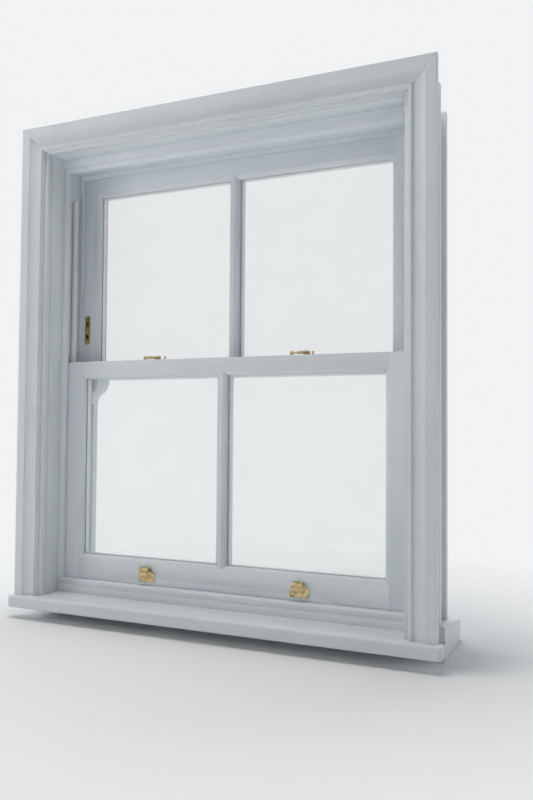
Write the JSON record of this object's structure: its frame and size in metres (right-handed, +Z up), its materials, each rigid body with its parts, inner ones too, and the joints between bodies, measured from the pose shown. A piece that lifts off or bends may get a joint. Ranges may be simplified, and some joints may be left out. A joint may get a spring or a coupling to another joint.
{
  "type": "sash window",
  "caption": "Double-hung timber sash window with glazing bars, moulded architrave, window board, brass lifts and fasteners; both sashes slide.",
  "frame": {"origin": "middle of the sill's underside, on the centre plane of the parting beads", "axes": "+Z up, +Y out of the building through the window, +X to the right as seen from the room"},
  "size_m": [1.169, 0.3002, 1.3405],
  "materials": {
    "frame_paint": "timber in pale grey-white satin paint",
    "sash_paint": "timber in pale grey-white satin paint",
    "hardware_brass": "polished brass with a little tarnish",
    "glass": "clear float glass",
    "spacer": "dark anodised spacer bar",
    "putty": "painted glazing putty",
    "balance_tube": "white plastic tube",
    "balance_rod": "plain zinc-plated steel",
    "balance_foot": "white moulded plastic",
    "seal": "black draught seal"
  },
  "bodies": {
    "frame": {"sill": "frame_paint", "jamb_left": "frame_paint", "jamb_right": "frame_paint", "head": "frame_paint", "inner_lining_left": "frame_paint", "inner_lining_right": "frame_paint", "inner_lining_head": "frame_paint", "outer_lining_left": "frame_paint", "outer_lining_right": "frame_paint", "outer_lining_head": "frame_paint", "parting_bead_left": "frame_paint", "parting_bead_right": "frame_paint", "parting_bead_head": "frame_paint", "staff_bead_left": "frame_paint", "staff_bead_right": "frame_paint", "staff_bead_head": "frame_paint", "staff_bead_sill": "frame_paint", "reveal_lining_left": "frame_paint", "reveal_lining_right": "frame_paint", "reveal_lining_head": "frame_paint", "architrave_left": "frame_paint", "architrave_right": "frame_paint", "architrave_head": "frame_paint", "window_board": "frame_paint", "balance_tubes": "balance_tube"},
    "lower_sash": {"lower_stile_left": "sash_paint", "lower_stile_right": "sash_paint", "lower_meeting_rail": "sash_paint", "bottom_rail": "sash_paint", "lower_glazing_bar": "sash_paint", "lower_glass_left": "glass", "lower_glass_right": "glass", "lower_spacers": "spacer", "lower_putty": "putty", "lower_balance_rods": "balance_rod", "lower_balance_feet": "balance_foot", "sash_lift_left": "hardware_brass", "sash_lift_right": "hardware_brass", "fastener_base_left": "hardware_brass", "fastener_base_right": "hardware_brass", "lower_sash_screws": "hardware_brass", "bottom_rail_seal": "seal"},
    "upper_sash": {"upper_stile_left": "sash_paint", "upper_stile_right": "sash_paint", "top_rail": "sash_paint", "upper_meeting_rail": "sash_paint", "upper_glazing_bar": "sash_paint", "upper_glass_left": "glass", "upper_glass_right": "glass", "upper_spacers": "spacer", "upper_putty": "putty", "upper_balance_rods": "balance_rod", "upper_balance_feet": "balance_foot", "fastener_keepers": "hardware_brass", "travel_stop_cases": "hardware_brass", "upper_sash_screws": "hardware_brass"},
    "lever_left": {"fastener_lever_left": "hardware_brass"},
    "lever_right": {"fastener_lever_right": "hardware_brass"},
    "lug_left": {"travel_stop_lug_left": "hardware_brass"},
    "lug_right": {"travel_stop_lug_right": "hardware_brass"}
  },
  "joints": [
    {"name": "lower_sash_slide", "type": "slide", "parent": "frame", "child": "lower_sash", "axis": [0, 0, 1], "range_m": [0, 0.505]},
    {"name": "upper_sash_slide", "type": "slide", "parent": "frame", "child": "upper_sash", "axis": [0, 0, -1], "range_m": [0, 0.5]},
    {"name": "lever_left_turn", "type": "hinge", "parent": "lower_sash", "child": "lever_left", "pos_m": [-0.218, -0.0183, 0.7051], "axis": [0, 0, 1], "range_deg": [0, 165]},
    {"name": "lever_right_turn", "type": "hinge", "parent": "lower_sash", "child": "lever_right", "pos_m": [0.218, -0.0183, 0.7051], "axis": [0, 0, 1], "range_deg": [0, 165]},
    {"name": "stop_lug_left_turn", "type": "hinge", "parent": "upper_sash", "child": "lug_left", "pos_m": [-0.4705, 0.0128, 0.804], "axis": [-1, 0, 0], "range_deg": [0, 35]},
    {"name": "stop_lug_right_turn", "type": "hinge", "parent": "upper_sash", "child": "lug_right", "pos_m": [0.4705, 0.0128, 0.804], "axis": [-1, 0, 0], "range_deg": [0, 35]}
  ]
}
